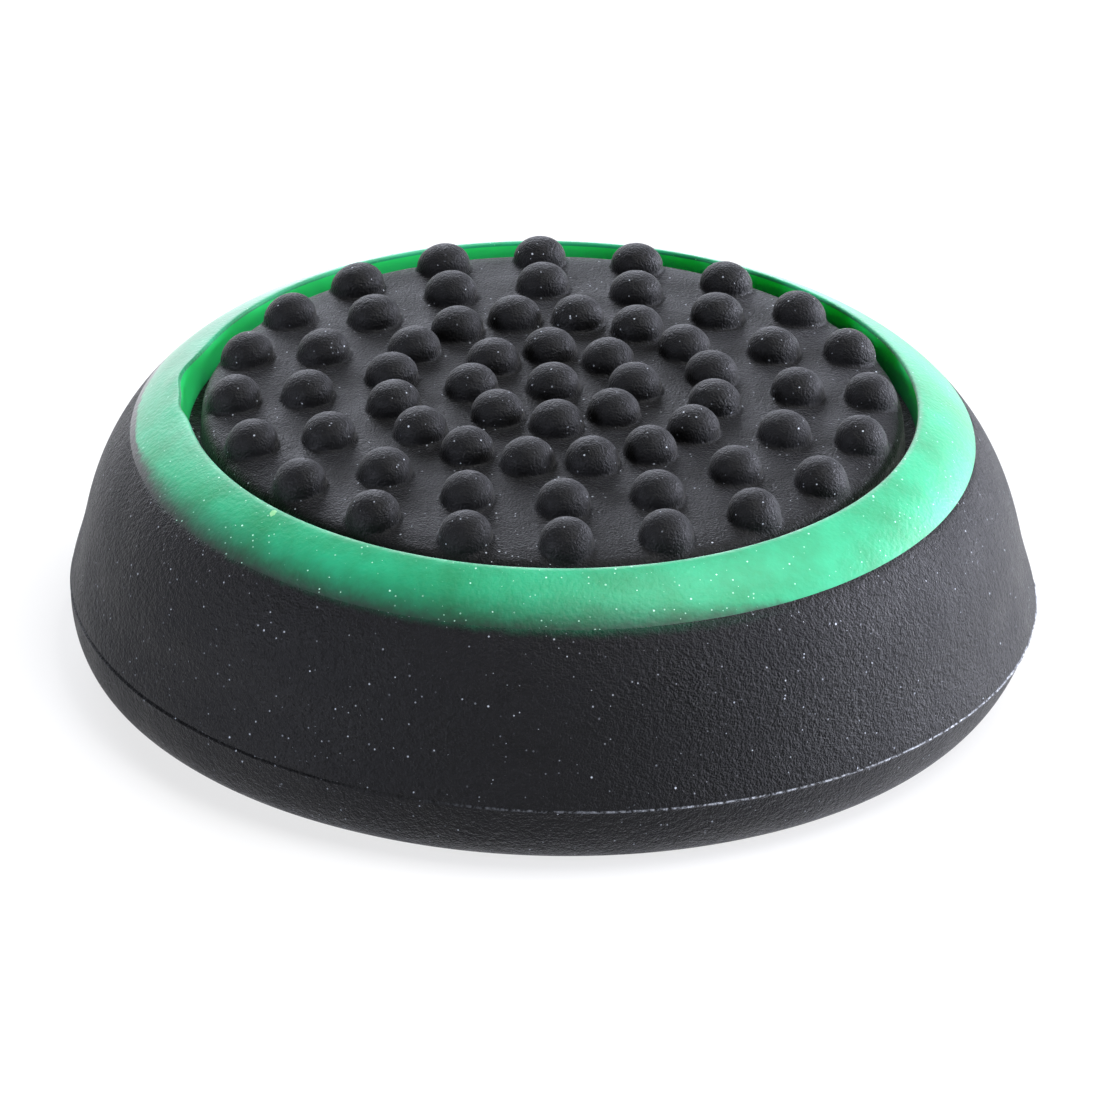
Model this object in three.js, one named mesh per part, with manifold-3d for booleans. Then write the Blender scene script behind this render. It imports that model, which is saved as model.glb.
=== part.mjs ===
// Thumb grip for a game controller's stick: a soft silicone cap in two shots, black and green.
// Millimetres, +Z up. The origin is on the table, in the middle of the foot that the grip stands on,
// and a nub of the outermost row points along -Y.
import * as THREE from 'three';
import { mergeVertices } from 'three/addons/utils/BufferGeometryUtils.js';
import Module from 'manifold-3d';

// Heights, stacked from the table up.
const lipThickness = 1.4;      // lip that hooks under the stick's head
const pocketDepth = 4.2;       // room for the stick's head above the lip
const grooveWeb = 0.85;        // black wall left between the pocket and the groove's floor
const accentDepth = 1.05;      // height of the green ring at its inner wall
const padSink = 0.2;           // how far the pad's edge lies below the ring's crest
const padCrown = 0.4;          // rise of the pad from its edge to its middle

// Radii of the pad, the groove round it and the hollow underneath.
const padRadius = 9.35;
const padDraft = 0.08;         // the pad's side is this much wider at the groove's floor
const padEdgeRound = 0.22;
const grooveWidth = 0.41;      // at the top, between the pad and the ring
const crestRound = 0.1;        // softened inner edge of the ring
const pocketRadius = 9.2;
const pocketRound = 0.3;       // in the pocket's two corners
const mouthRadius = 7.5;
const mouthRound = 0.35;       // at the lip's upper edge
const mouthLeadIn = 0.9;       // width of the rounded mouth edge that guides the stick's head in
const mouthLeadHeight = 0.75;

// Outer skin: a skirt that flares to the mould's parting line, and a heel that turns in to the foot.
const rimRadius = 12.97;       // widest place, on the parting line
const partingHeight = 1.97;
const waistRadius = 12.7;      // where the skirt stops flaring and goes up almost straight
const waistHeight = 2.8;
const flareTurn = 0.5;         // how far below the waist the flare is still upright
const flankReach = 1.93;       // how far the skirt goes up before it bends in to the shoulder
const flankLean = 0.21;        // how far it leans in over that reach
const shoulderRun = 1.85;      // straight run of the shoulder out from the ring's crest
const shoulderDrop = 0.76;     // and how far it falls over that run
const footRadius = 11.6;       // outer edge of the flat foot
const heelTuck = 0.25;         // the heel's corner before rounding: in from the rim, up from the table

// Nubs: round-topped pegs in circles round one in the middle.
const nubRadius = 0.72;
const nubHeight = 0.74;
const nubFlare = 0.1;          // fillet at the nub's foot
const outerRowMargin = 0.83;   // from the outermost row to the pad's edge
const outerRowStep = 1.97;     // from the outermost row to the next one in
const nubRows = [
  { count: 8, halfTurn: 0 },
  { count: 16, halfTurn: 0.5 },
  { count: 16, halfTurn: 0 },
  { count: 20, halfTurn: 0 },
];

// Fineness of the facets.
const skinSides = 80;
const padSides = 40;
const pocketSides = 48;
const nubSides = 9;
const crownBreak = 5.5;        // radius of the one ring of facet corners on the crowned face
const padRoot = 0.4;           // how far the pad goes down into the web, so that they join
const nubRoot = 0.25;          // and a nub into the pad
const coreRunOut = 1;          // how far the pocket's cutting solid reaches below the foot

// Sizes that follow from those above.
const pocketCeiling = lipThickness + pocketDepth;
const seatHeight = pocketCeiling + grooveWeb;
const crestHeight = seatHeight + accentDepth;
const crestRadius = padRadius + grooveWidth;
const padEdgeHeight = crestHeight - padSink;
const outerRowRadius = padRadius - outerRowMargin;
const innerRowStep = (outerRowRadius - outerRowStep) / (nubRows.length - 1);

const wasm = await Module();
wasm.setup();

// A point of a profile: distance from the axis, then height.
function at(radius, height) {
  return new THREE.Vector2(radius, height);
}

// Points of a corner rounded from start to end, with the sharp corner as the curve's handle.
function rounded(start, corner, end, steps) {
  return new THREE.QuadraticBezierCurve(start, corner, end).getPoints(steps);
}

// Turns a profile about the Z axis.
function turned(profile, sides) {
  const geometry = new THREE.LatheGeometry(profile, sides);
  geometry.rotateX(Math.PI / 2);
  return geometry;
}

// Makes a closed geometry into a solid that can be joined and cut.
function solid(geometry) {
  geometry.deleteAttribute('normal');
  geometry.deleteAttribute('uv');
  const merged = mergeVertices(geometry);
  const index = merged.index.array;
  const triangles = [];
  for (let i = 0; i < index.length; i += 3) {
    const [a, b, c] = index.subarray(i, i + 3);
    if (a !== b && b !== c && c !== a) {
      triangles.push(a, b, c);
    }
  }
  const mesh = new wasm.Mesh({
    numProp: 3,
    vertProperties: new Float32Array(merged.attributes.position.array),
    triVerts: new Uint32Array(triangles),
  });
  return new wasm.Manifold(mesh);
}

// Makes a solid into a named part with its material.
function part(name, body, material) {
  const mesh = body.getMesh();
  const geometry = new THREE.BufferGeometry();
  geometry.setAttribute('position', new THREE.BufferAttribute(mesh.vertProperties, 3));
  geometry.setIndex(new THREE.BufferAttribute(mesh.triVerts, 1));
  const object = new THREE.Mesh(geometry, material);
  object.name = name;
  return object;
}

// The skirt and shoulder are one curve, from the waist up to the ring's crest. The black shot has it
// up to the ring's seat, and the green one has the rest.
const shoulder = new THREE.CubicBezierCurve(
  at(waistRadius, waistHeight),
  at(waistRadius - flankLean, waistHeight + flankReach),
  at(crestRadius + crestRound + shoulderRun, crestHeight - shoulderDrop),
  at(crestRadius + crestRound, crestHeight),
);

// Where along that curve the two colours meet: its height is halved down to the seat's.
function shoulderShareAt(height) {
  let low = 0;
  let high = 1;
  for (let i = 0; i < 40; i += 1) {
    const middle = (low + high) / 2;
    if (shoulder.getPoint(middle).y < height) {
      low = middle;
    } else {
      high = middle;
    }
  }
  return (low + high) / 2;
}
const seatShare = shoulderShareAt(seatHeight);
const seatRadius = shoulder.getPoint(seatShare).x;

function shoulderPoints(from, to, steps) {
  const points = [];
  for (let i = 0; i <= steps; i += 1) {
    points.push(shoulder.getPoint(from + (to - from) * i / steps));
  }
  return points;
}

// Height of the pad's crowned face at a distance from its middle.
function padFace(radius) {
  const crownRadius = (padRadius * padRadius + padCrown * padCrown) / (2 * padCrown);
  const fall = crownRadius - Math.sqrt(crownRadius * crownRadius - radius * radius);
  return padEdgeHeight + padCrown - fall;
}

// Black shot, outside: foot, heel, flare, skirt, and the flat face that the ring and the pad stand on.
function skirtOutline() {
  const rim = at(rimRadius, partingHeight);
  const foot = at(footRadius, 0);
  const waist = at(waistRadius, waistHeight);
  const points = [at(0, 0)];
  points.push(...rounded(foot, at(rimRadius - heelTuck, heelTuck), rim, 5));
  points.push(...rounded(rim, at(waistRadius, waistHeight - flareTurn), waist, 4).slice(1));
  points.push(...shoulderPoints(0, seatShare, 6).slice(1, -1));
  points.push(at(seatRadius, seatHeight));
  points.push(at(0, seatHeight));
  return points;
}

// The pad: a side with some draft, a rounded edge and the crowned face.
function padOutline() {
  const rootHeight = seatHeight - padRoot;
  const points = [at(0, rootHeight), at(padRadius + padDraft, rootHeight)];
  points.push(at(padRadius + padDraft, seatHeight));
  const edgeInner = padRadius - padEdgeRound;
  const edgeStart = at(padRadius, padEdgeHeight - padEdgeRound);
  const edgeEnd = at(edgeInner, padFace(edgeInner));
  points.push(...rounded(edgeStart, at(padRadius, padFace(padRadius)), edgeEnd, 2));
  points.push(at(crownBreak, padFace(crownBreak)));
  points.push(at(0, padFace(0)));
  return points;
}

// The hollow for the stick's head: a rounded way in past the lip, then the pocket.
function pocketOutline() {
  const points = [at(0, -coreRunOut), at(mouthRadius + mouthLeadIn, -coreRunOut)];
  const leadStart = at(mouthRadius + mouthLeadIn, 0);
  const leadEnd = at(mouthRadius, mouthLeadHeight);
  points.push(...rounded(leadStart, at(mouthRadius, 0), leadEnd, 3));
  const lipTop = at(mouthRadius + mouthRound, lipThickness);
  const lipCorner = at(mouthRadius, lipThickness);
  points.push(...rounded(at(mouthRadius, lipThickness - mouthRound), lipCorner, lipTop, 2));
  const lowStart = at(pocketRadius - pocketRound, lipThickness);
  const lowEnd = at(pocketRadius, lipThickness + pocketRound);
  points.push(...rounded(lowStart, at(pocketRadius, lipThickness), lowEnd, 2));
  const highStart = at(pocketRadius, pocketCeiling - pocketRound);
  const highEnd = at(pocketRadius - pocketRound, pocketCeiling);
  points.push(...rounded(highStart, at(pocketRadius, pocketCeiling), highEnd, 2));
  points.push(at(0, pocketCeiling));
  return points;
}

// One nub, standing on height 0: a root below the pad's face, a fillet and a round top.
function nubOutline() {
  const footPoint = at(nubRadius + nubFlare, 0);
  const shank = at(nubRadius, nubFlare);
  const points = [at(0, -nubRoot), at(nubRadius + nubFlare, -nubRoot)];
  points.push(footPoint);
  points.push(shank);
  const domeHeight = nubHeight - nubFlare;
  for (const degrees of [30, 60, 90]) {
    const angle = THREE.MathUtils.degToRad(degrees);
    const radius = degrees === 90 ? 0 : nubRadius * Math.cos(angle);
    points.push(at(radius, nubFlare + domeHeight * Math.sin(angle)));
  }
  return points;
}

// All nubs, each standing upright on the crowned face, as the mould lets them go.
function nubSolids() {
  const nub = solid(turned(nubOutline(), nubSides));
  const solids = [nub.translate([0, 0, padFace(0)])];
  nubRows.forEach((row, rowIndex) => {
    const outermost = rowIndex === nubRows.length - 1;
    const radius = outermost ? outerRowRadius : innerRowStep * (rowIndex + 1);
    for (let i = 0; i < row.count; i += 1) {
      const angle = (i + row.halfTurn) * 2 * Math.PI / row.count - Math.PI / 2;
      solids.push(nub.translate([radius * Math.cos(angle), radius * Math.sin(angle), padFace(radius)]));
    }
  });
  return solids;
}

// Green shot: lies on the seat, with a straight inner wall and a thin outer edge on the shoulder.
function ringOutline() {
  const points = [at(crestRadius, seatHeight), at(seatRadius, seatHeight)];
  points.push(...shoulderPoints(seatShare, 1, 5).slice(1));
  const crestEnd = at(crestRadius, crestHeight - crestRound);
  points.push(...rounded(points[points.length - 1], at(crestRadius, crestHeight), crestEnd, 2).slice(1));
  points.push(at(crestRadius, seatHeight));
  return points;
}

const blackSilicone = new THREE.MeshStandardMaterial({ color: 0x26282b, roughness: 0.62, metalness: 0 });
blackSilicone.name = 'black_silicone';
const greenSilicone = new THREE.MeshStandardMaterial({ color: 0x3cc878, roughness: 0.55, metalness: 0 });
greenSilicone.name = 'green_silicone';

let capBody = solid(turned(skirtOutline(), skinSides));
capBody = capBody.add(solid(turned(padOutline(), padSides)));
capBody = capBody.subtract(solid(turned(pocketOutline(), pocketSides)));
for (const nub of nubSolids()) {
  capBody = capBody.add(nub);
}
const accentRing = solid(turned(ringOutline(), skinSides));

const grip = new THREE.Group();
grip.name = 'thumb_grip';
grip.add(part('cap_body', capBody, blackSilicone));
grip.add(part('accent_ring', accentRing, greenSilicone));

export default grip;
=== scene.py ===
import math
import random

import bmesh
import bpy
from mathutils import Matrix, Vector, noise
from mathutils.geometry import delaunay_2d_cdt


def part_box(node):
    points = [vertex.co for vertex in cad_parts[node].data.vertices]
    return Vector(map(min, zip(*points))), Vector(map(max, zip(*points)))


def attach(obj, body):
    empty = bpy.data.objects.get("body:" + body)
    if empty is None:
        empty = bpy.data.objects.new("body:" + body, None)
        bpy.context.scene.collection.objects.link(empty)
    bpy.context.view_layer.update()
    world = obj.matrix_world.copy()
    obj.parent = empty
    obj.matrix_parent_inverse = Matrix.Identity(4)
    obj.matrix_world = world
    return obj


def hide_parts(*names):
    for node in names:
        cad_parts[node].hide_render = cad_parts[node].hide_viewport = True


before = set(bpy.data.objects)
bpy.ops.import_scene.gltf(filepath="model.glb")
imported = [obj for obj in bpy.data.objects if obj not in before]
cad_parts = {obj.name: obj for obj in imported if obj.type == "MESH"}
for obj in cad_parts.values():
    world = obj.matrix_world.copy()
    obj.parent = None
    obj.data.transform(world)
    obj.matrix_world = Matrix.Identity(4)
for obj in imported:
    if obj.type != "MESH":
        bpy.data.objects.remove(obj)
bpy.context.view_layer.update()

# The view of the grip
# The cap is seen from the front and 27 degrees above, through the long lens of a product picture. It
# leans a little down to the right there, and a nub of the outermost row is nearly in front.
MM = 0.001
VIEW_TURN = math.radians(3.3)
VIEW_RISE = math.radians(26.99)
VIEW_DISTANCE = 377.4
VIEW_AIM_ASIDE = -0.05
VIEW_AIM_HEIGHT = 3.03
VIEW_ROLL = math.radians(1.96)
LENS = 459.9
SENSOR = 36.0

view_right = Vector((math.cos(VIEW_TURN), -math.sin(VIEW_TURN), 0))
view_front = Vector((-math.sin(VIEW_TURN), -math.cos(VIEW_TURN), 0))
aim = view_right * VIEW_AIM_ASIDE + Vector((0, 0, VIEW_AIM_HEIGHT))
towards_camera = view_front * math.cos(VIEW_RISE) + Vector((0, 0, math.sin(VIEW_RISE)))
level_up = towards_camera.cross(view_right)
picture_right = view_right * math.cos(VIEW_ROLL) + level_up * math.sin(VIEW_ROLL)
picture_up = level_up * math.cos(VIEW_ROLL) - view_right * math.sin(VIEW_ROLL)

camera_data = bpy.data.cameras.new("product_camera")
camera_data.sensor_width = SENSOR
camera_data.lens = LENS
camera_data.clip_start = 0.02
camera_data.clip_end = 5.0
camera = bpy.data.objects.new("product_camera", camera_data)
camera_turn = Matrix((picture_right, picture_up, towards_camera)).transposed()
camera_place = (aim + towards_camera * VIEW_DISTANCE) * MM
camera.matrix_world = Matrix.Translation(camera_place) @ camera_turn.to_4x4()
bpy.context.scene.collection.objects.link(camera)
bpy.context.scene.camera = camera

# The black shot: skirt, foot, pocket and pad
# One moulding of silicone rubber, pressed in a two-plate mould. The plates meet at the widest place,
# where they leave a fine jagged line of flash and, being a hair out of line, a step.
_, body_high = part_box("cap_body")
ring_low, ring_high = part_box("accent_ring")
RIM_RADIUS = body_high[0] / MM
SEAT_HEIGHT = ring_low[2] / MM
CREST_HEIGHT = ring_high[2] / MM
PAD_RADIUS = 9.35
PAD_DRAFT = 0.08
PAD_EDGE_ROUND = 0.25
PAD_BULGE = 0.03
PAD_SINK = 0.07
PAD_CROWN = 0.4
GROOVE_WIDTH = 0.41
CREST_ROUND = 0.1
POCKET_RADIUS = 9.2
POCKET_CEILING = 5.6
CEILING_MIDDLE = 4.5
POCKET_ROUND = 0.3
LIP_THICKNESS = 1.4
MOUTH_RADIUS = 7.5
MOUTH_ROUND = 0.35
MOUTH_LEAD_IN = 0.9
MOUTH_LEAD_HEIGHT = 0.75
PARTING_HEIGHT = 1.97
WAIST_RADIUS = 12.7
WAIST_HEIGHT = 2.8
FLARE_ROUND = 0.3
FLANK_REACH = 1.93
FLANK_LEAN = 0.21
SHOULDER_RUN = 1.85
SHOULDER_DROP = 0.76
FOOT_RADIUS = 11.6
FOOT_MIDDLE = 10.0
HEEL_TUCK = 0.25
EDGE_SOFTNESS = 0.9
EDGE_FALL = 0.14
CREST_RADIUS = PAD_RADIUS + GROOVE_WIDTH
PAD_EDGE_HEIGHT = CREST_HEIGHT - PAD_SINK
EDGE_RADIUS = PAD_RADIUS + PAD_BULGE

# How finely the section is turned and its shoulder divided, in sides and in steps along the curve.
SKIN_SIDES = 288
SHOULDER_STEPS = 400
FLARE_END = 60
SKIRT_STEP = 12
CLEAR_OF_SEAT = 4
SAME_PLACE = 1e-6

# The small faults of a soft moulding: flash and crease of the parting line, waves, and the lean.
FLASH_HEIGHT = 0.035
FLASH_LEAST = 0.1
FLASH_WIDTH = 0.05
FLASH_TAPER = 0.02
FLASH_TEETH = 34
FLASH_WRAP = 0.35
CREASE_DEPTH = 0.07
PLATE_STEP = 0.025
SKIN_WAVES = 0.012
SKIN_WAVE_LENGTH = 4.0
WAVES_REACH_IN = 2.0
WAVES_END_BELOW = 0.1
FOOT_SHIFT = -0.17
RIM_SHIFT = 0.085
TOP_SHIFT = -0.116
TOP_TILT = math.radians(0.82)


def bezier(handles, steps):
    """Points of a curve in (radius, height) with these handles, both ends included."""
    points = []
    for i in range(steps + 1):
        share = i / steps
        level = [Vector(handle) for handle in handles]
        while len(level) > 1:
            level = [a.lerp(b, share) for a, b in zip(level, level[1:])]
        points.append((level[0].x, level[0].y))
    return points


SHOULDER = (
    (WAIST_RADIUS, WAIST_HEIGHT),
    (WAIST_RADIUS - FLANK_LEAN, WAIST_HEIGHT + FLANK_REACH),
    (CREST_RADIUS + CREST_ROUND + SHOULDER_RUN, CREST_HEIGHT - SHOULDER_DROP),
    (CREST_RADIUS + CREST_ROUND, CREST_HEIGHT),
)
shoulder_points = bezier(SHOULDER, SHOULDER_STEPS)
seat_index = next(i for i, point in enumerate(shoulder_points) if point[1] >= SEAT_HEIGHT)
SEAT_RADIUS = shoulder_points[seat_index][0]


def pad_face(radius):
    """Height of the pad's crowned face at this distance from its middle."""
    crown_radius = (PAD_RADIUS ** 2 + PAD_CROWN ** 2) / (2 * PAD_CROWN)
    fall = crown_radius - math.sqrt(crown_radius ** 2 - radius ** 2)
    towards_edge = max(0, 1 - (PAD_RADIUS - radius) / EDGE_SOFTNESS)
    over = min(max(radius - EDGE_RADIUS + PAD_EDGE_ROUND, 0), PAD_EDGE_ROUND)
    rounding = PAD_EDGE_ROUND - math.sqrt(PAD_EDGE_ROUND ** 2 - over ** 2)
    return PAD_EDGE_HEIGHT + PAD_CROWN - fall - EDGE_FALL * towards_edge ** 2 - rounding


def black_profile():
    """The black shot's section, from the middle of the pocket's ceiling round to the pad's edge."""
    rows = [(0.0, POCKET_CEILING), (CEILING_MIDDLE, POCKET_CEILING)]
    wall_in = POCKET_RADIUS - POCKET_ROUND
    rows += bezier([(wall_in, POCKET_CEILING), (POCKET_RADIUS, POCKET_CEILING),
                    (POCKET_RADIUS, POCKET_CEILING - POCKET_ROUND)], 6)
    rows += bezier([(POCKET_RADIUS, LIP_THICKNESS + POCKET_ROUND), (POCKET_RADIUS, LIP_THICKNESS),
                    (wall_in, LIP_THICKNESS)], 6)
    rows += bezier([(MOUTH_RADIUS + MOUTH_ROUND, LIP_THICKNESS), (MOUTH_RADIUS, LIP_THICKNESS),
                    (MOUTH_RADIUS, LIP_THICKNESS - MOUTH_ROUND)], 6)
    rows += bezier([(MOUTH_RADIUS, MOUTH_LEAD_HEIGHT), (MOUTH_RADIUS, 0),
                    (MOUTH_RADIUS + MOUTH_LEAD_IN, 0)], 10)
    rows += [(FOOT_MIDDLE, 0.0)]
    heel = bezier([(FOOT_RADIUS, 0), (RIM_RADIUS - HEEL_TUCK, HEEL_TUCK),
                   (RIM_RADIUS, PARTING_HEIGHT)], 24)
    rows += heel[:-1]
    rows += [(RIM_RADIUS, PARTING_HEIGHT - FLASH_WIDTH), (RIM_RADIUS, PARTING_HEIGHT)]
    flare = bezier([(RIM_RADIUS, PARTING_HEIGHT), (RIM_RADIUS, PARTING_HEIGHT + FLARE_ROUND),
                    (WAIST_RADIUS + FLARE_ROUND / 8, WAIST_HEIGHT), shoulder_points[FLARE_END]], 20)
    rows += [(RIM_RADIUS - FLASH_TAPER, PARTING_HEIGHT + FLASH_WIDTH)]
    rows += flare[1:]
    rows += shoulder_points[FLARE_END + SKIRT_STEP:seat_index - CLEAR_OF_SEAT:SKIRT_STEP]
    rows += [(SEAT_RADIUS, SEAT_HEIGHT), (CREST_RADIUS, SEAT_HEIGHT)]
    rows += [(PAD_RADIUS + PAD_DRAFT, SEAT_HEIGHT), (EDGE_RADIUS, pad_face(EDGE_RADIUS))]
    return rows


def settled(point):
    """A point of the true form as the soft cap stands, with its top a little to the left, in metres."""
    low_share = min(max(point.z / PARTING_HEIGHT, 0), 1)
    high_share = min(max((point.z - PARTING_HEIGHT) / (CREST_HEIGHT - PARTING_HEIGHT), 0), 1)
    shift = FOOT_SHIFT * (1 - low_share) + RIM_SHIFT * low_share * (1 - high_share)
    shift += TOP_SHIFT * high_share
    rise = point.dot(view_right) * math.tan(TOP_TILT) * high_share
    return (point + view_right * shift + Vector((0, 0, rise))) * MM


def skin_point(radius, height, angle):
    """A point of the turned form, with the small faults of a soft moulding, in metres."""
    direction = Vector((math.cos(angle), math.sin(angle), 0))
    aside = direction.dot(view_right)
    if radius > WAIST_RADIUS - WAVES_REACH_IN and height < SEAT_HEIGHT - WAVES_END_BELOW:
        spot = Vector((radius * direction.x, radius * direction.y, height))
        radius += noise.noise(spot / SKIN_WAVE_LENGTH) * SKIN_WAVES
    if radius > FOOT_RADIUS and height < PARTING_HEIGHT - FLASH_WIDTH / 2:
        radius -= PLATE_STEP * aside
    if abs(height - PARTING_HEIGHT) < SAME_PLACE:
        ragged = 0.5 + noise.noise(Vector((direction.x, direction.y, 0.3)) * FLASH_TEETH)
        radius += FLASH_HEIGHT * max(ragged, FLASH_LEAST) * max(aside + FLASH_WRAP, 0)
        radius -= CREASE_DEPTH * max(-aside, 0)
    return settled(Vector((radius * direction.x, radius * direction.y, height)))


def add_turned(mesh, rows, sides, place):
    """Turns rows of (radius, height) about Z into quads, and returns the rings of vertices."""
    rings = []
    for radius, height in rows:
        if radius == 0:
            rings.append([mesh.verts.new(place(0, height, 0))])
            continue
        turn = 2 * math.pi / sides
        rings.append([mesh.verts.new(place(radius, height, i * turn)) for i in range(sides)])
    for low, high in zip(rings, rings[1:]):
        for i in range(sides):
            j = (i + 1) % sides
            if len(low) == 1:
                mesh.faces.new((low[0], high[j], high[i]))
            elif len(high) == 1:
                mesh.faces.new((low[i], low[j], high[0]))
            else:
                mesh.faces.new((low[i], low[j], high[j], high[i]))
    return rings


# Nubs: round-topped pegs in four circles round one in the middle, each with a fillet at its foot. They
# let go of the mould straight up, so all stand upright on the crowned face.
NUB_RADIUS = 0.72
NUB_HEIGHT = 0.74
NUB_FILLET = 0.11
NUB_SQUARENESS = 2.05
NUB_SIDES = 28
NUB_FILLET_STEPS = 5
NUB_TOP_STEPS = 9
NUB_UNEVEN_HEIGHT = 0.025
NUB_UNEVEN_WIDTH = 0.012
NUB_LEAN = 0.012
NUB_SEED = 61
OUTER_ROW_MARGIN = 0.83
OUTER_ROW_STEP = 1.97
NUB_ROWS = ((8, 0), (16, 0.5), (16, 0), (20, 0))
FACE_SPACING = 0.36
CLEAR_OF_FOOT = 0.05
EDGE_ROWS = (0.3, 0.24, 0.18, 0.12, 0.07, 0.03, 0.01)


def nub_centres():
    """Where the nubs stand on the flat: one in the middle, then row by row."""
    outer_row = PAD_RADIUS - OUTER_ROW_MARGIN
    inner_step = (outer_row - OUTER_ROW_STEP) / (len(NUB_ROWS) - 1)
    centres = [Vector((0, 0))]
    for row, (count, half_turn) in enumerate(NUB_ROWS):
        radius = outer_row if row == len(NUB_ROWS) - 1 else inner_step * (row + 1)
        for i in range(count):
            angle = (i + half_turn) * 2 * math.pi / count - math.pi / 2
            centres.append(Vector((radius * math.cos(angle), radius * math.sin(angle))))
    return centres


def nub_profile():
    """A nub's section from its foot to its top: distance from its middle, height over the face."""
    rows = []
    for i in range(NUB_FILLET_STEPS + 1):
        angle = math.radians(90) * i / NUB_FILLET_STEPS
        radius = NUB_RADIUS + NUB_FILLET * (1 - math.sin(angle))
        rows.append((radius, NUB_FILLET * (1 - math.cos(angle))))
    power = 2 / NUB_SQUARENESS
    for i in range(1, NUB_TOP_STEPS + 1):
        angle = math.radians(90) * i / NUB_TOP_STEPS
        radius = NUB_RADIUS * max(math.cos(angle), 0) ** power
        rows.append((radius, NUB_FILLET + (NUB_HEIGHT - NUB_FILLET) * math.sin(angle) ** power))
    rows[-1] = (0.0, NUB_HEIGHT)
    return rows


def add_nub(mesh, centre, draw):
    """One nub on the face. Returns the vertices of its foot circle."""
    taller = 1 + draw.uniform(-NUB_UNEVEN_HEIGHT, NUB_UNEVEN_HEIGHT)
    wider = 1 + draw.uniform(-NUB_UNEVEN_WIDTH, NUB_UNEVEN_WIDTH)
    lean = Vector((draw.uniform(-1, 1), draw.uniform(-1, 1))) * NUB_LEAN

    def place(radius, height, angle):
        spread = wider if height > 0 else 1
        x = centre.x + radius * spread * math.cos(angle) + lean.x * height
        y = centre.y + radius * spread * math.sin(angle) + lean.y * height
        return settled(Vector((x, y, pad_face(math.hypot(x, y)) + height * taller)))

    return add_turned(mesh, nub_profile(), NUB_SIDES, place)[0]


def circle_spots(centre, radius, count):
    """Points round a circle on the flat, where add_turned puts a ring's vertices."""
    spots = []
    for i in range(count):
        turn = i * 2 * math.pi / count
        spots.append(Vector((centre.x + radius * math.cos(turn), centre.y + radius * math.sin(turn))))
    return spots


def add_studded_face(mesh, edge_ring):
    """The pad's face between its edge and the nubs, and the nubs, joined to the edge's vertices."""
    draw = random.Random(NUB_SEED)
    centres = nub_centres()
    foot_radius = NUB_RADIUS + NUB_FILLET
    known = list(edge_ring)
    loops = [list(range(len(edge_ring)))]
    spots = circle_spots(Vector((0, 0)), EDGE_RADIUS, len(edge_ring))
    for centre in centres:
        foot = add_nub(mesh, centre, draw)
        loops.append([len(known) + i for i in range(len(foot))])
        known += foot
        spots += circle_spots(centre, foot_radius, len(foot))
    row_gap = FACE_SPACING * math.sqrt(3) / 2
    reach = int(EDGE_RADIUS / row_gap) + 1
    inner_spots = []
    for row in range(-reach, reach + 1):
        for column in range(-reach, reach + 1):
            spot = Vector(((column + 0.5 * (row % 2)) * FACE_SPACING, row * row_gap))
            if spot.length < EDGE_RADIUS - EDGE_ROWS[0] - FACE_SPACING / 3:
                inner_spots.append(spot)
    for from_edge in EDGE_ROWS:
        inner_spots += circle_spots(Vector((0, 0)), EDGE_RADIUS - from_edge, SKIN_SIDES)
    for spot in inner_spots:
        if all((spot - centre).length > foot_radius + CLEAR_OF_FOOT for centre in centres):
            spots.append(spot)
    edges = [(loop[i - 1], loop[i]) for loop in loops for i in range(len(loop))]
    flat, _, triangles, sources, _, _ = delaunay_2d_cdt(spots, edges, [], 0, SAME_PLACE)
    corners = []
    for spot, source in zip(flat, sources):
        if source and source[0] < len(known):
            corners.append(known[source[0]])
        else:
            height = pad_face(spot.length)
            corners.append(mesh.verts.new(settled(Vector((spot.x, spot.y, height)))))
    for triangle in triangles:
        middle = sum((flat[i] for i in triangle), Vector((0, 0))) / 3
        if all((middle - centre).length > foot_radius * 0.99 for centre in centres):
            mesh.faces.new([corners[i] for i in triangle])


def finished_object(name, mesh, sharp_degrees):
    """A mesh's object, with smooth shading that breaks at edges sharper than this."""
    bmesh.ops.recalc_face_normals(mesh, faces=mesh.faces)
    data = bpy.data.meshes.new(name)
    mesh.to_mesh(data)
    mesh.free()
    data.shade_smooth()
    data.set_sharp_from_angle(angle=math.radians(sharp_degrees))
    made = bpy.data.objects.new(name, data)
    bpy.context.scene.collection.objects.link(made)
    return made


black_mesh = bmesh.new()
black_rings = add_turned(black_mesh, black_profile(), SKIN_SIDES, skin_point)
add_studded_face(black_mesh, black_rings[-1])
black_shot = finished_object("black_shot", black_mesh, sharp_degrees=50)
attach(black_shot, "root")
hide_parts("cap_body")

# Silicone rubber, black, from a spark-eroded mould
# Black pigment leaves almost no colour of its own, so the eye reads it by a broad, soft sheen that
# brightens at the edges. The grain breaks that sheen up, and fine pale dust clings to it.
GRAIN_WIDTH = 0.18
GRAIN_DEPTH = 0.09
GRAIN_FLATNESS = 1.2
GRAIN_ON_PAD = 0.35
GRAIN_FADES_OVER = 0.3
PATCH_WIDTH = 1.6
DUST_SPACING = 0.17
DUST_RADIUS = 0.029
SILICONE_IOR = 1.41
LINE_WIDTH = 0.04
LINE_GRAIN_WIDTH = 0.14
# From the first of these millimetres across to the second, the painted highlight on the flash comes in at
# the right.
FLASH_HIGHLIGHT_FROM = -4.0
FLASH_HIGHLIGHT_TO = 5.0
SMEAR_BELOW = 0.22
SMEAR_ABOVE = 0.82
SMEAR_SWAY = 0.12
MOTTLE_WIDTH = 0.3
BACK_SLANT = 0.5
CRISP_FROM = -10.5
CRISP_TO = -6.5
SEAM_WIDTH = 0.08
OVER_SEAT = 0.03

# The finest pits of such a mould are about 0.02 mm wide. They are drawn coarser here, so that they show.
FINE_GRAIN_WIDTH = 0.06
FINE_GRAIN_DEPTH = 0.045


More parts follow.
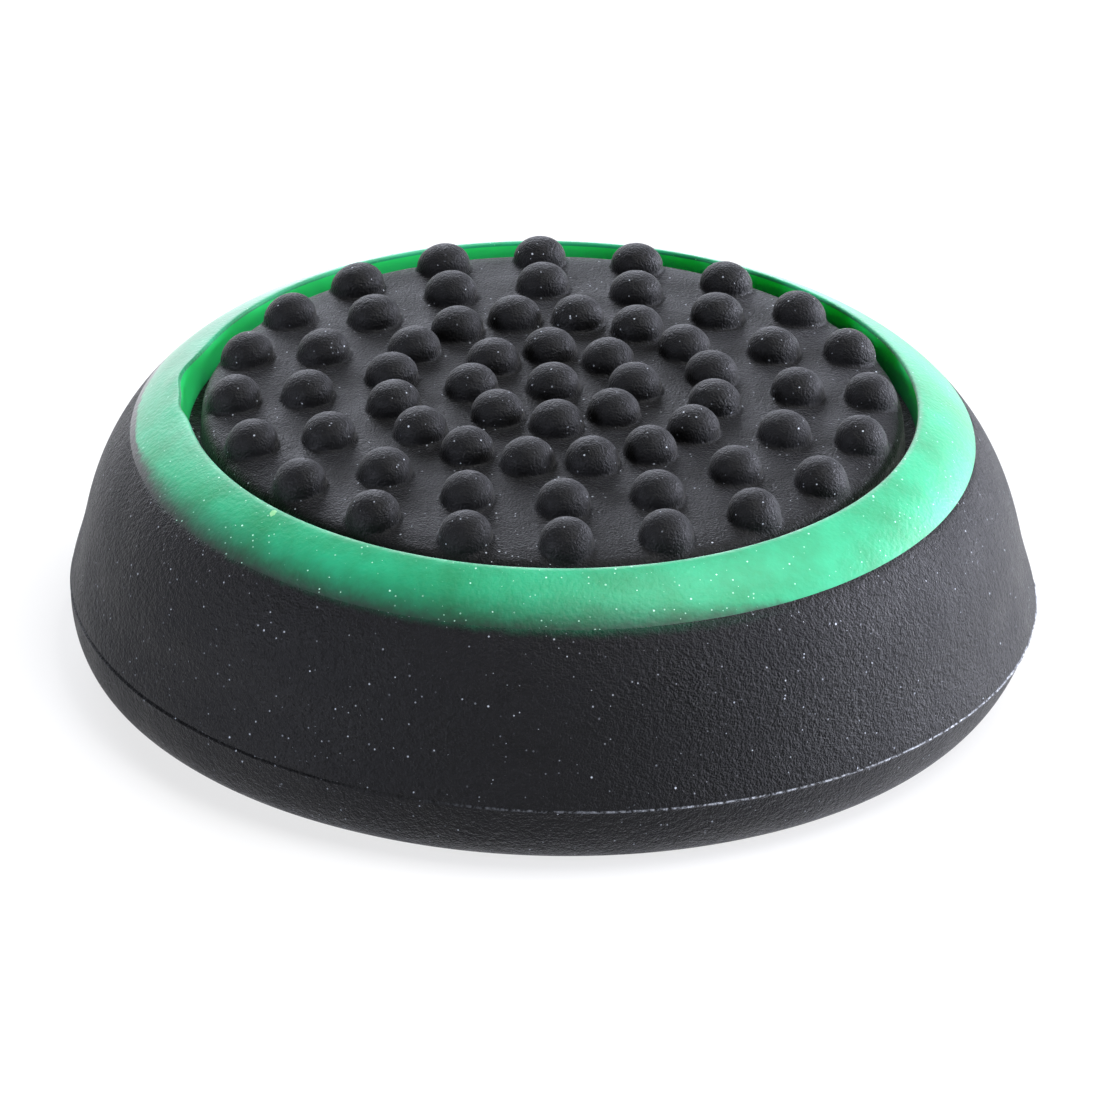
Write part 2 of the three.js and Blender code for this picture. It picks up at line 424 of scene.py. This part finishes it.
def linear(hex_colour):
    """A colour written as sRGB hex, as linear red, green, blue and alpha."""
    channels = [int(hex_colour[i:i + 2], 16) / 255 for i in (1, 3, 5)]
    return [c / 12.92 if c <= 0.04045 else ((c + 0.055) / 1.055) ** 2.4 for c in channels] + [1.0]


def add(tree, kind, settings, links=()):
    """Adds a node, sets its properties and sockets, and links other nodes' outputs to its sockets."""
    made = tree.nodes.new(kind)
    for name, value in settings.items():
        if isinstance(name, int) or name in made.inputs:
            made.inputs[name].default_value = value
        else:
            setattr(made, name, value)
    for name, output in dict(links).items():
        tree.links.new(output, made.inputs[name])
    return made


def new_material(name):
    """A material with an empty node tree, and that tree."""
    made = bpy.data.materials.new(name)
    made.use_nodes = True
    made.node_tree.nodes.clear()
    return made, made.node_tree


def pigment(tree, where, patch_width, roughness, dark, light):
    """Two shades of one pigment in soft patches: the colour, and the share of the lighter shade."""
    tone = add(tree, "ShaderNodeTexNoise",
               {"Scale": 1 / (patch_width * MM), "Detail": 5.0, "Roughness": roughness},
               {"Vector": where.outputs["Object"]})
    share = add(tree, "ShaderNodeMapRange", {"From Min": 0.3, "From Max": 0.7},
                {"Value": tone.outputs["Fac"]})
    shade = add(tree, "ShaderNodeMix", {"data_type": "RGBA", 6: linear(dark), 7: linear(light)},
                {0: share.outputs["Result"]})
    return shade.outputs[2], share.outputs["Result"]


def thin_edge(tree, where, place):
    """What the ring's thin edge follows: an unsteady height, its mottle, and how far back and right."""
    mottle = add(tree, "ShaderNodeTexNoise",
                 {"Scale": 1 / (MOTTLE_WIDTH * MM), "Detail": 4.0, "Roughness": 0.6},
                 {"Vector": where.outputs["Object"]})
    sway = add(tree, "ShaderNodeMapRange", {"To Min": -SMEAR_SWAY * MM, "To Max": SMEAR_SWAY * MM},
               {"Value": mottle.outputs["Fac"]})
    unsteady = add(tree, "ShaderNodeMath", {"operation": "ADD"},
                   {0: place.outputs["Z"], 1: sway.outputs["Result"]})
    round_back = add(tree, "ShaderNodeMath", {"operation": "MULTIPLY_ADD", 1: BACK_SLANT},
                     {0: place.outputs["X"], 2: place.outputs["Y"]})
    return unsteady.outputs["Value"], mottle.outputs["Fac"], round_back.outputs["Value"]


def dusted(tree, where, under, spacing, radius, bare, colour):
    """Fine dust on a colour: a round speck of uneven size and paleness in each cell that isn't bare."""
    cells = add(tree, "ShaderNodeTexVoronoi", {"Scale": 1 / (spacing * MM)},
                {"Vector": where.outputs["Object"]})
    pick = add(tree, "ShaderNodeSeparateColor", {}, {"Color": cells.outputs["Color"]})
    reach = add(tree, "ShaderNodeMapRange",
                {"From Min": bare, "From Max": 1.0, "To Min": 0.0, "To Max": radius / spacing},
                {"Value": pick.outputs["Red"]})
    speck = add(tree, "ShaderNodeMath", {"operation": "LESS_THAN"},
                {0: cells.outputs["Distance"], 1: reach.outputs["Result"]})
    share = add(tree, "ShaderNodeMath", {"operation": "MULTIPLY"},
                {0: speck.outputs["Value"], 1: pick.outputs["Green"]})
    mixed = add(tree, "ShaderNodeMix", {"data_type": "RGBA", 7: linear(colour)},
                {0: share.outputs["Value"], 6: under})
    return mixed.outputs[2]


black, tree = new_material("silicone_black_eroded")
where = add(tree, "ShaderNodeTexCoord", {})
place = add(tree, "ShaderNodeSeparateXYZ", {}, {0: where.outputs["Object"]})
shade, light_share = pigment(tree, where, PATCH_WIDTH, 0.65, dark="#050506", light="#0c0c0e")

# The mould's parting line: a band of painted shade along it for the shadow of its crease, broken at the
# right by a ragged painted highlight where the flash catches the light.
off_line = add(tree, "ShaderNodeMath", {"operation": "SUBTRACT", 1: PARTING_HEIGHT * MM},
               {0: place.outputs["Z"]})
from_line = add(tree, "ShaderNodeMath", {"operation": "ABSOLUTE"}, {0: off_line.outputs["Value"]})
painted_line_band = add(tree, "ShaderNodeMapRange", {"From Min": LINE_WIDTH * MM, "From Max": LINE_WIDTH * MM / 2},
              {"Value": from_line.outputs["Value"]})
ragged = add(tree, "ShaderNodeTexNoise",
             {"Scale": 1 / (LINE_GRAIN_WIDTH * MM), "Detail": 4.0, "Roughness": 0.7},
             {"Vector": where.outputs["Object"]})
ragged_highlight = add(tree, "ShaderNodeMapRange", {"From Min": 0.42, "From Max": 0.62},
               {"Value": ragged.outputs["Fac"]})
lit_at_right = add(tree, "ShaderNodeMapRange", {"From Min": FLASH_HIGHLIGHT_FROM * MM, "From Max": FLASH_HIGHLIGHT_TO * MM},
               {"Value": place.outputs["X"]})
painted_flash_highlight = add(tree, "ShaderNodeMath", {"operation": "MULTIPLY"},
                 {0: ragged_highlight.outputs["Result"], 1: lit_at_right.outputs["Result"]})
# Painted shade of the crease, and painted highlight of the flash.
painted_line_shade_and_highlight = add(tree, "ShaderNodeMix", {"data_type": "RGBA", 6: linear("#030303"), 7: linear("#a9adb3")},
                  {0: painted_flash_highlight.outputs["Value"]})
with_painted_line = add(tree, "ShaderNodeMix", {"data_type": "RGBA"},
            {0: painted_line_band.outputs["Result"], 6: shade, 7: painted_line_shade_and_highlight.outputs[2]})

# A breath of green below the ring, where its thin edge was smeared out over the black in the mould.
unsteady, _, round_back = thin_edge(tree, where, place)
smear = add(tree, "ShaderNodeMapRange",
            {"From Min": (SEAT_HEIGHT - SMEAR_BELOW) * MM, "From Max": (SEAT_HEIGHT + SMEAR_ABOVE) * MM,
             "interpolation_type": "SMOOTHSTEP"}, {"Value": unsteady})
off_pad = add(tree, "ShaderNodeMath", {"operation": "LESS_THAN", 1: (SEAT_HEIGHT + OVER_SEAT) * MM},
              {0: place.outputs["Z"]})
not_crisp = add(tree, "ShaderNodeMapRange", {"From Min": CRISP_TO * MM, "From Max": CRISP_FROM * MM},
                {"Value": round_back})
smear_left = add(tree, "ShaderNodeMath", {"operation": "MULTIPLY"},
                 {0: smear.outputs["Result"], 1: not_crisp.outputs["Result"]})
smear_share = add(tree, "ShaderNodeMath", {"operation": "MULTIPLY"},
                  {0: smear_left.outputs["Value"], 1: off_pad.outputs["Value"]})
smeared = add(tree, "ShaderNodeMix", {"data_type": "RGBA", 7: linear("#009a68")},
              {0: smear_share.outputs["Value"], 6: with_painted_line.outputs[2]})

# Where the ring ends crisply, a fine dark line of painted shade runs along it, for the shadow in the
# crease at the seam.
seam_shade_band = add(tree, "ShaderNodeMapRange",
                {"From Min": (SEAT_HEIGHT - SEAM_WIDTH) * MM,
                 "From Max": (SEAT_HEIGHT - SEAM_WIDTH / 2) * MM}, {"Value": place.outputs["Z"]})
crisp = add(tree, "ShaderNodeMath", {"operation": "SUBTRACT", 0: 1.0},
            {1: not_crisp.outputs["Result"]})
crisp_seam_shade = add(tree, "ShaderNodeMath", {"operation": "MULTIPLY"},
                 {0: seam_shade_band.outputs["Result"], 1: crisp.outputs["Value"]})
seam_shade_share = add(tree, "ShaderNodeMath", {"operation": "MULTIPLY"},
                 {0: crisp_seam_shade.outputs["Value"], 1: off_pad.outputs["Value"]})
# The seam crease's painted shade.
seam_shade_painted = add(tree, "ShaderNodeMix", {"data_type": "RGBA", 7: linear("#020202")},
              {0: seam_shade_share.outputs["Value"], 6: smeared.outputs[2]})

# Pale dust lies on top. The grain below it is a bump, coarse on the skirt and faint on the pad.
dusty = dusted(tree, where, seam_shade_painted.outputs[2], DUST_SPACING, DUST_RADIUS, bare=0.35, colour="#b4bac2")
flatter = add(tree, "ShaderNodeVectorMath", {"operation": "MULTIPLY", 1: (1.0, 1.0, GRAIN_FLATNESS)},
              {0: where.outputs["Object"]})
grain = add(tree, "ShaderNodeTexNoise",
            {"Scale": 1 / (GRAIN_WIDTH * MM), "Detail": 3.0, "Roughness": 0.65, "Distortion": 0.1},
            {"Vector": flatter.outputs["Vector"]})
fine_grain = add(tree, "ShaderNodeTexNoise", {"Scale": 1 / (FINE_GRAIN_WIDTH * MM), "Detail": 2.0},
                 {"Vector": where.outputs["Object"]})
on_skirt = add(tree, "ShaderNodeMapRange",
               {"From Min": (SEAT_HEIGHT + GRAIN_FADES_OVER) * MM, "From Max": SEAT_HEIGHT * MM,
                "To Min": GRAIN_ON_PAD, "To Max": 1.0}, {"Value": place.outputs["Z"]})
coarse = add(tree, "ShaderNodeMath", {"operation": "MULTIPLY"},
             {0: grain.outputs["Fac"], 1: on_skirt.outputs["Result"]})
coarse_bump = add(tree, "ShaderNodeBump", {"Strength": 0.9, "Distance": GRAIN_DEPTH * MM},
                  {"Height": coarse.outputs["Value"]})
fine_bump = add(tree, "ShaderNodeBump", {"Strength": 0.9, "Distance": FINE_GRAIN_DEPTH * MM},
                {"Height": fine_grain.outputs["Fac"], "Normal": coarse_bump.outputs["Normal"]})
fine_dull = add(tree, "ShaderNodeMapRange",
                {"From Min": 0.3, "From Max": 0.7, "To Min": 0.34, "To Max": 0.5},
                {"Value": fine_grain.outputs["Fac"]})
dull = add(tree, "ShaderNodeMath", {"operation": "MULTIPLY_ADD", 1: 0.2},
           {0: light_share, 2: fine_dull.outputs["Result"]})
surface = add(tree, "ShaderNodeBsdfPrincipled",
              {"IOR": SILICONE_IOR, "Specular IOR Level": 0.2, "Sheen Weight": 0.15,
               "Sheen Roughness": 0.37},
              {"Base Color": dusty, "Roughness": dull.outputs["Value"],
               "Normal": fine_bump.outputs["Normal"]})
add(tree, "ShaderNodeOutputMaterial", {}, {"Surface": surface.outputs["BSDF"]})
black_shot.data.materials.append(black)

# The green shot: the ring on the shoulder
# A second moulding of silicone, bonded to the black one on a flat seat round the pad. Its outer edge runs
# out to nothing on the shoulder, and its inner edge was dented at the left when the cap was pulled off.
RING_STEP = 8
WALL_SHARES = (0.75, 0.5, 0.25)
WALL_RINGS = len(WALL_SHARES) + 1
DENT_REACH_OUT = 0.8
DENT_REACH_DOWN = 1.1

# Each dent: the degrees round from the right, its spread in degrees, and how deep it is.
RING_DENTS = ((174, 7.0, 0.3), (184, 3.5, 0.16))


def green_profile():
    """The ring's section: its seat, the shoulder up to the crest, and the straight inner wall."""
    rows = [(CREST_RADIUS, SEAT_HEIGHT), (SEAT_RADIUS, SEAT_HEIGHT)]
    rows += shoulder_points[seat_index + RING_STEP::RING_STEP]
    rows += bezier([shoulder_points[-1], (CREST_RADIUS, CREST_HEIGHT),
                    (CREST_RADIUS, CREST_HEIGHT - CREST_ROUND)], 5)[1:]
    depth = CREST_HEIGHT - CREST_ROUND - SEAT_HEIGHT
    rows += [(CREST_RADIUS, SEAT_HEIGHT + depth * share) for share in WALL_SHARES]
    return rows


def ring_point(radius, height, angle):
    """A point of the ring, pushed outwards where its inner edge is dented, in metres."""
    direction = Vector((math.cos(angle), math.sin(angle), 0))
    from_right = math.degrees(math.atan2(-direction.dot(view_front), direction.dot(view_right))) % 360
    near_crest = max(0, 1 - (radius - CREST_RADIUS) / DENT_REACH_OUT)
    near_crest *= max(0, (height - SEAT_HEIGHT) / DENT_REACH_DOWN)
    for middle, spread, push in RING_DENTS:
        radius += push * near_crest * math.exp(-((from_right - middle) / spread) ** 2)
    return settled(Vector((radius * direction.x, radius * direction.y, height)))


green_mesh = bmesh.new()
green_rings = add_turned(green_mesh, green_profile(), SKIN_SIDES, ring_point)
for i in range(SKIN_SIDES):
    j = (i + 1) % SKIN_SIDES
    green_mesh.faces.new((green_rings[-1][i], green_rings[-1][j], green_rings[0][j], green_rings[0][i]))

# The wall of the groove takes the second of the ring's two materials, whose colour is a painted glow.
wall_corners = {corner for ring in [green_rings[0]] + green_rings[-WALL_RINGS:] for corner in ring}
for face in green_mesh.faces:
    if all(corner in wall_corners for corner in face.verts):
        face.material_index = 1
green_shot = finished_object("green_shot", green_mesh, sharp_degrees=40)
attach(green_shot, "root")
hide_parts("accent_ring")

# Silicone rubber, green, from the same mould finish
# Bright pigment in a slightly clear rubber, so light wanders a little inside it, green furthest. The ring
# runs out over the black rubber, which darkens it. At the right it ends at a crisp seam.
FADE_AT_RIGHT = 0.1
GREEN_PATCH_WIDTH = 1.5
GREEN_GRAIN_WIDTH = 0.12
GREEN_GRAIN_DEPTH = 0.03
NICK_PLACE = (-7.75, -6.45, 7.36)
NICK_RADIUS = 0.11
SPARKLE_SPACING = 0.14
SPARKLE_RADIUS = 0.028
LIGHT_WANDERS = (0.3, 1.0, 0.5)

green, tree = new_material("silicone_green_eroded")
where = add(tree, "ShaderNodeTexCoord", {})
place = add(tree, "ShaderNodeSeparateXYZ", {}, {0: where.outputs["Object"]})
shade, _ = pigment(tree, where, GREEN_PATCH_WIDTH, 0.6, dark="#088050", light="#149e6e")

# The green thins out downwards, unevenly, and less and less towards the right and behind.
unsteady, mottle, round_back = thin_edge(tree, where, place)
none_below = add(tree, "ShaderNodeMapRange",
                 {"From Min": CRISP_FROM * MM, "From Max": CRISP_TO * MM,
                  "To Min": (SEAT_HEIGHT - SMEAR_BELOW) * MM, "To Max": SEAT_HEIGHT * MM},
                 {"Value": round_back})
full_from = add(tree, "ShaderNodeMapRange",
                {"From Min": CRISP_FROM * MM, "From Max": CRISP_TO * MM,
                 "To Min": (SEAT_HEIGHT + SMEAR_ABOVE) * MM,
                 "To Max": (SEAT_HEIGHT + FADE_AT_RIGHT) * MM}, {"Value": round_back})
thick = add(tree, "ShaderNodeMapRange", {"interpolation_type": "SMOOTHSTEP"},
            {"Value": unsteady, "From Min": none_below.outputs["Result"],
             "From Max": full_from.outputs["Result"]})
faded = add(tree, "ShaderNodeMix", {"data_type": "RGBA", 6: linear("#0b100e")},
            {0: thick.outputs["Result"], 7: shade})

# A small yellowish nick on the crest, front left, ragged by the mottle, which is a half on the whole.
from_nick = add(tree, "ShaderNodeVectorMath",
                {"operation": "DISTANCE", 1: [part * MM for part in NICK_PLACE]},
                {0: where.outputs["Object"]})
nick_reach = add(tree, "ShaderNodeMath", {"operation": "MULTIPLY", 1: NICK_RADIUS * MM * 2},
                 {0: mottle})
on_nick = add(tree, "ShaderNodeMath", {"operation": "LESS_THAN"},
              {0: from_nick.outputs["Value"], 1: nick_reach.outputs["Value"]})
nicked = add(tree, "ShaderNodeMix", {"data_type": "RGBA", 7: linear("#78b87c")},
             {0: on_nick.outputs["Value"], 6: faded.outputs[2]})

# Specks that catch the light, and the grain.
dusty = dusted(tree, where, nicked.outputs[2], SPARKLE_SPACING, SPARKLE_RADIUS, bare=0.4,
               colour="#b9ead2")
grain = add(tree, "ShaderNodeTexNoise", {"Scale": 1 / (GREEN_GRAIN_WIDTH * MM), "Detail": 2.0},
            {"Vector": where.outputs["Object"]})
bump = add(tree, "ShaderNodeBump", {"Strength": 0.5, "Distance": GREEN_GRAIN_DEPTH * MM},
           {"Height": grain.outputs["Fac"]})
dull = add(tree, "ShaderNodeMapRange", {"To Min": 0.42, "To Max": 0.55},
           {"Value": grain.outputs["Fac"]})
surface = add(tree, "ShaderNodeBsdfPrincipled",
              {"IOR": SILICONE_IOR, "Specular IOR Level": 0.45, "Sheen Weight": 0.6,
               "Sheen Roughness": 0.4, "Subsurface Weight": 0.15,
               "Subsurface Radius": LIGHT_WANDERS, "Subsurface Scale": 0.5 * MM},
              {"Base Color": dusty, "Roughness": dull.outputs["Result"],
               "Normal": bump.outputs["Normal"]})
add(tree, "ShaderNodeOutputMaterial", {}, {"Surface": surface.outputs["BSDF"]})
green_shot.data.materials.append(green)

# Silicone rubber, green, smooth, on the wall of the groove
# A polished blade of the mould made the groove, so its wall has no grain to catch a pale sheen. Its colour
# is a painted glow: a brighter, yellower green than the ring's pigment, all over the wall, standing in for
# light that comes through the ring.
smooth_painted_glow, tree = new_material("silicone_green_smooth_painted_glow")
# The wall's base colour is a painted glow.
surface = add(tree, "ShaderNodeBsdfPrincipled",
              {"IOR": SILICONE_IOR, "Specular IOR Level": 0.2, "Roughness": 0.5,
               "Base Color": linear("#2cc86c"), "Subsurface Weight": 0.4,
               "Subsurface Radius": LIGHT_WANDERS, "Subsurface Scale": 1.0 * MM})
add(tree, "ShaderNodeOutputMaterial", {}, {"Surface": surface.outputs["BSDF"]})
green_shot.data.materials.append(smooth_painted_glow)

# The table
# A plain white sheet under the cap, wide enough to be the background from every side.
FLOOR_RADIUS = 1200.0
SHEET_GAP = 0.02
PAPER_GLOW = 0.72

floor_mesh = bmesh.new()
bmesh.ops.create_circle(floor_mesh, cap_ends=True, segments=96, radius=FLOOR_RADIUS * MM)
floor = finished_object("table_sheet", floor_mesh, sharp_degrees=30)
floor.location.z = -SHEET_GAP * MM

paper, tree = new_material("paper_white")
rays = add(tree, "ShaderNodeLightPath", {})
seen = add(tree, "ShaderNodeMath", {"operation": "MAXIMUM"},
           {0: rays.outputs["Is Camera Ray"], 1: rays.outputs["Is Glossy Ray"]})
seen_through = add(tree, "ShaderNodeMath", {"operation": "MAXIMUM"},
                   {0: seen.outputs["Value"], 1: rays.outputs["Is Transmission Ray"]})
glow = add(tree, "ShaderNodeMath", {"operation": "MULTIPLY", 1: PAPER_GLOW},
           {0: seen_through.outputs["Value"]})
surface = add(tree, "ShaderNodeBsdfPrincipled",
              {"Base Color": linear("#808080"), "Roughness": 0.9, "Emission Color": linear("#ffffff")},
              {"Emission Strength": glow.outputs["Value"]})
add(tree, "ShaderNodeOutputMaterial", {}, {"Surface": surface.outputs["BSDF"]})
floor.data.materials.append(paper)

# Light
# A long soft light low at the right gives the skirt its sheen. Weaker ones at the left and behind draw the
# other flank and the nubs' tops, and one high at the right keeps the ring bright all round.
ROOM_LIGHT = 0.03

# Each lamp: degrees round from the front and up, metres away, its width and height, watts and colour.
LAMPS = (
    ("soft_right", 102, 9, 0.5, 0.7, 0.2, 11.8, "#ebeeff"),
    ("soft_left", -60, 10, 0.5, 0.3, 0.2, 3.2, "#eaeeff"),
    ("soft_behind", -165, 25, 0.5, 0.3, 0.3, 2.2, "#eef2ff"),
    ("soft_above", 75, 68, 0.5, 0.3, 0.3, 3.1, "#ffffff"),
)

for name, azimuth, rise, away, width, height, watts, colour in LAMPS:
    data = bpy.data.lights.new(name, "AREA")
    data.shape = "RECTANGLE"
    data.size = width
    data.size_y = height
    data.energy = watts
    data.color = linear(colour)[:3]
    lamp = bpy.data.objects.new(name, data)
    turn = math.radians(azimuth)
    level = view_front * math.cos(turn) + view_right * math.sin(turn)
    towards = level * math.cos(math.radians(rise)) + Vector((0, 0, math.sin(math.radians(rise))))
    lamp.location = towards * away
    lamp.rotation_euler = towards.to_track_quat("Z", "Y").to_euler()
    lamp.visible_camera = False
    bpy.context.scene.collection.objects.link(lamp)

world = bpy.data.worlds.new("studio")
world.use_nodes = True
world.node_tree.nodes["Background"].inputs["Color"].default_value = linear("#ffffff")
world.node_tree.nodes["Background"].inputs["Strength"].default_value = ROOM_LIGHT
bpy.context.scene.world = world
bpy.context.scene.view_settings.view_transform = "Standard"
